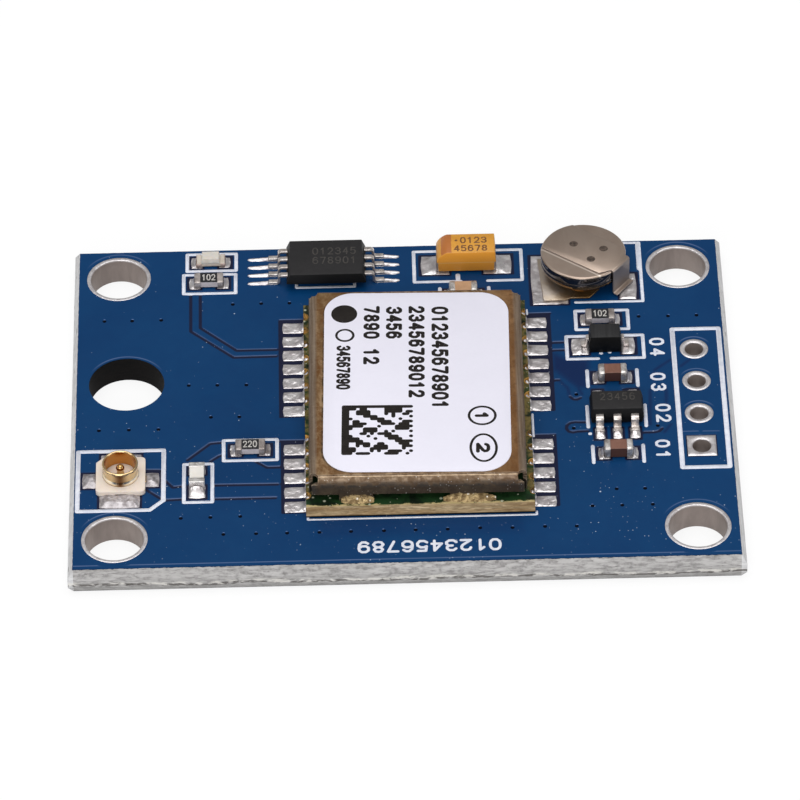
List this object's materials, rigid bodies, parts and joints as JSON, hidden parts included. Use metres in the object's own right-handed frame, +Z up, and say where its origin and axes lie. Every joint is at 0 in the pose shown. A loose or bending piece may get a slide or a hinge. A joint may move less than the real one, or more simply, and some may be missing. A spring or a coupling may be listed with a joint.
{
  "type": "gps receiver module",
  "caption": "Blue satellite positioning receiver board with a shielded receiver, antenna socket, backup cell, memory chip, regulator and a row of header holes.",
  "frame": {"origin": "middle of the board's underside", "axes": "+X along the board towards the header holes, +Y towards the backup cell, +Z up out of the parts side"},
  "size_m": [0.036, 0.0254, 0.0041],
  "materials": {
    "board_mask": "blue solder mask over glass epoxy, pale rough snapped edges",
    "tin_plating": "tinned copper plating in the holes",
    "white_print": "white screen print",
    "solder": "bright reflowed solder",
    "carrier_mask": "dark green solder mask over tan glass epoxy",
    "gold": "gold plating",
    "shield_metal": "tarnished tinned steel sheet",
    "label_paper": "satin white label",
    "black_mould": "black moulding compound",
    "cream_mould": "cream heat resistant moulding",
    "ochre_mould": "ochre moulding compound",
    "clear_resin": "milky clear resin",
    "white_ceramic": "white alumina",
    "tan_ceramic": "tan fired ceramic",
    "brown_ceramic": "brown fired ceramic",
    "tinned_metal": "tinned terminals and leads",
    "cell_steel": "nickel plated stainless steel",
    "gasket": "dark sealing ring",
    "crystal_lid": "plated metal lid"
  },
  "bodies": {
    "root": {"circuit_board": "board_mask", "mounting_hole_plating": "tin_plating", "header_hole_plating": "tin_plating", "silkscreen": "white_print", "component_solder": "solder", "receiver_solder": "solder", "receiver_carrier": "carrier_mask", "receiver_castellations": "gold", "shield_can": "shield_metal", "shield_solder": "solder", "receiver_label": "label_paper", "positioning_chip": "black_mould", "main_crystal": "crystal_lid", "clock_crystal": "crystal_lid", "band_filter": "tan_ceramic", "receiver_passives": "brown_ceramic", "antenna_socket_base": "cream_mould", "antenna_socket_shell": "gold", "antenna_socket_pin": "gold", "led_base": "white_ceramic", "led_lens": "clear_resin", "led_terminals": "tinned_metal", "memory_chip_body": "black_mould", "memory_chip_leads": "tinned_metal", "tantalum_capacitor_body": "ochre_mould", "tantalum_capacitor_terminals": "tinned_metal", "backup_cell_can": "cell_steel", "backup_cell_cap": "cell_steel", "backup_cell_gasket": "gasket", "backup_cell_top_tab": "cell_steel", "backup_cell_bottom_tab": "cell_steel", "charge_diode_body": "black_mould", "charge_diode_leads": "tinned_metal", "regulator_body": "black_mould", "regulator_leads": "tinned_metal", "antenna_inductor_body": "white_ceramic", "antenna_inductor_caps": "tinned_metal", "receiver_capacitor_body": "tan_ceramic", "receiver_capacitor_caps": "tinned_metal", "input_capacitor_body": "brown_ceramic", "input_capacitor_caps": "tinned_metal", "output_capacitor_body": "brown_ceramic", "output_capacitor_caps": "tinned_metal", "led_resistor_body": "white_ceramic", "led_resistor_coat": "black_mould", "led_resistor_caps": "tinned_metal", "antenna_resistor_body": "white_ceramic", "antenna_resistor_coat": "black_mould", "antenna_resistor_caps": "tinned_metal", "charge_resistor_body": "white_ceramic", "charge_resistor_coat": "black_mould", "charge_resistor_caps": "tinned_metal"}
  },
  "joints": []
}
